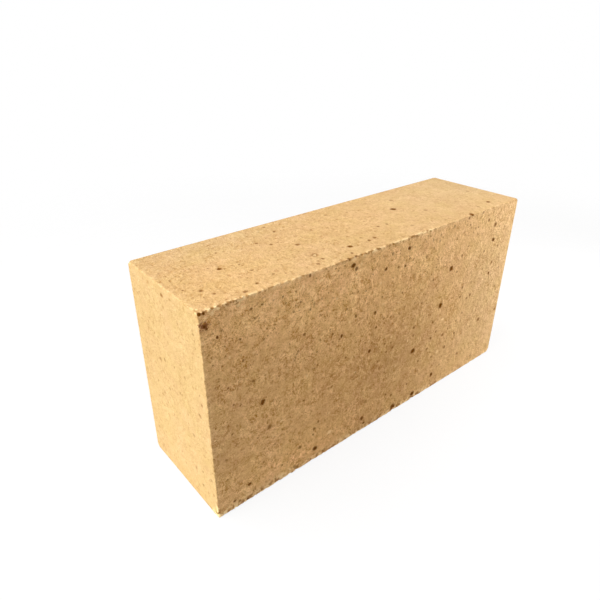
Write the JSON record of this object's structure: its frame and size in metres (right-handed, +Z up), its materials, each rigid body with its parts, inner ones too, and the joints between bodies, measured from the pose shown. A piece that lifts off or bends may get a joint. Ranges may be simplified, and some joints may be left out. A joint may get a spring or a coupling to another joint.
{
  "type": "refractory firebrick",
  "caption": "Dense refractory firebrick, a plain straight brick that stands on one long side, with iron-speckled faces and lightly chipped arrises.",
  "frame": {"origin": "middle of the long side that the brick stands on", "axes": "+X along the length, +Y through the thickness towards the back bed face, +Z up through the width"},
  "size_m": [0.23, 0.065, 0.115],
  "materials": {
    "fired_clay": "matte"
  },
  "bodies": {
    "root": {"firebrick": "fired_clay"}
  },
  "joints": []
}
